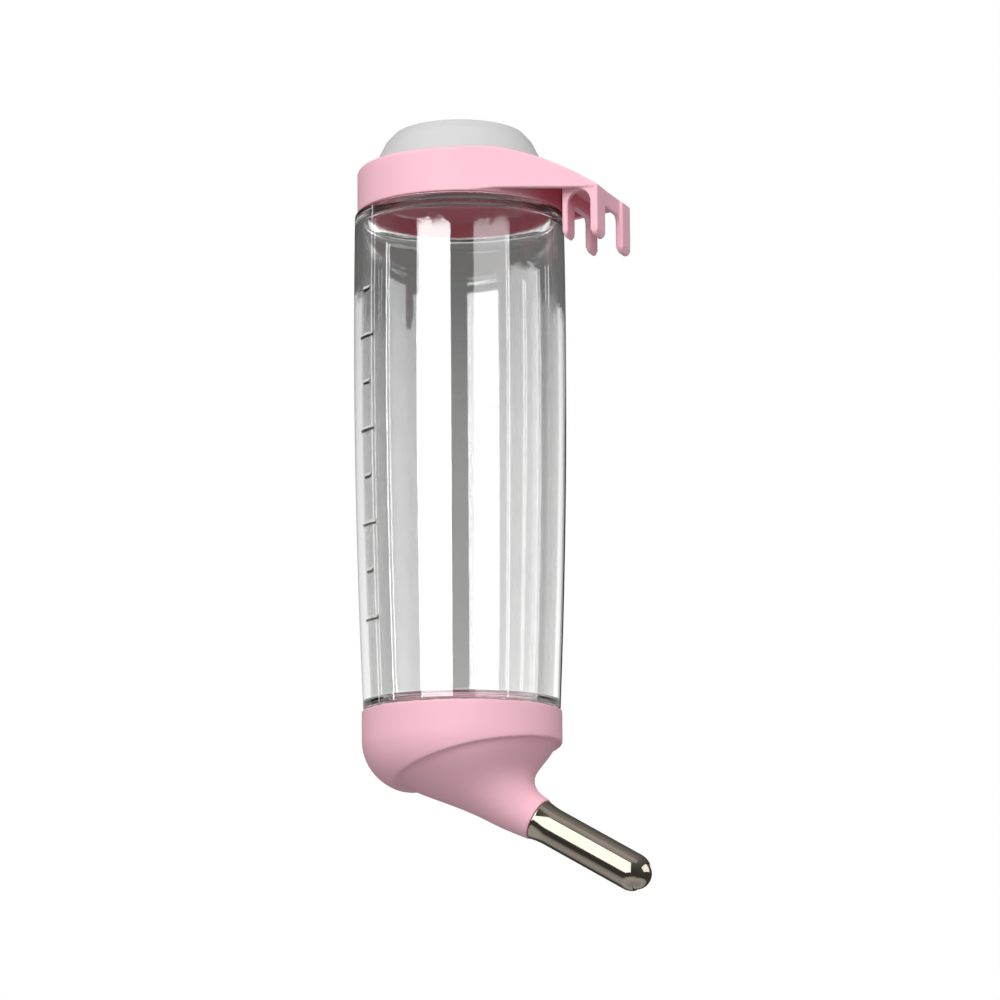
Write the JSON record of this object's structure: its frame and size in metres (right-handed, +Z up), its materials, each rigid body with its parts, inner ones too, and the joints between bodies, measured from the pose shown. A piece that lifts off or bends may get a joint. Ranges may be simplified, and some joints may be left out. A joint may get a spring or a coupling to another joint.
{
  "type": "rabbit water bottle",
  "caption": "Clear hanging drinking bottle with a swivelling hook collar, a domed filler cap and an angled steel nozzle with a ball valve.",
  "frame": {"origin": "centre of the horizontal cage wire in the hook's half-round seat", "axes": "+Z up along the bottle, +X from the bottle over the wire into the cage, Y along the cage wire"},
  "size_m": [0.0955, 0.0676, 0.2457],
  "materials": {
    "pink_plastic": "satin pastel pink moulding",
    "clear_plastic": "clear and glossy",
    "cap_plastic": "satin light grey",
    "silicone": "soft translucent white",
    "polished_steel": "polished stainless steel",
    "stop_plastic": "plain moulding",
    "spring_steel": "drawn wire"
  },
  "bodies": {
    "hanger": {"hanger_collar": "pink_plastic"},
    "bottle": {"bottle_body": "clear_plastic"},
    "cap_thread": {"cap_seal": "silicone"},
    "cap": {"filler_cap": "cap_plastic"},
    "cup_thread": {"cup_gasket": "silicone"},
    "cup": {"base_cup": "pink_plastic", "nozzle_tube": "polished_steel", "nozzle_sleeve": "silicone", "spring_stop": "stop_plastic", "ball_spring": "spring_steel"},
    "ball": {"tip_ball": "polished_steel"}
  },
  "joints": [
    {"name": "bottle_swivel", "type": "hinge", "parent": "hanger", "child": "bottle", "pos_m": [-0.0458, 0, 0], "axis": [0, 0, 1], "continuous": true},
    {"name": "cap_lift", "type": "slide", "parent": "bottle", "child": "cap_thread", "axis": [0, 0, 1], "range_m": [0, 0.00313]},
    {"name": "cap_turn", "type": "hinge", "parent": "cap_thread", "child": "cap", "pos_m": [-0.0458, 0, 0.0205], "axis": [0, 0, 1], "range_deg": [0, 450]},
    {"name": "cup_drop", "type": "slide", "parent": "bottle", "child": "cup_thread", "axis": [0, 0, -1], "range_m": [0, 0.0025]},
    {"name": "cup_turn", "type": "hinge", "parent": "cup_thread", "child": "cup", "pos_m": [-0.0458, 0, -0.16], "axis": [0, 0, -1], "range_deg": [0, 360]},
    {"name": "ball_push", "type": "slide", "parent": "cup", "child": "ball", "axis": [-0.8686, 0, 0.4955], "range_m": [0, 0.002], "stiffness_N_per_m": 150, "springref_m": -0.0015, "deforming": ["ball_spring"]}
  ],
  "couplings": [
    {"joint": "cap_lift", "follows": "cap_turn", "m_per_rad": 0.00039789},
    {"joint": "cup_drop", "follows": "cup_turn", "m_per_rad": 0.00039789}
  ]
}
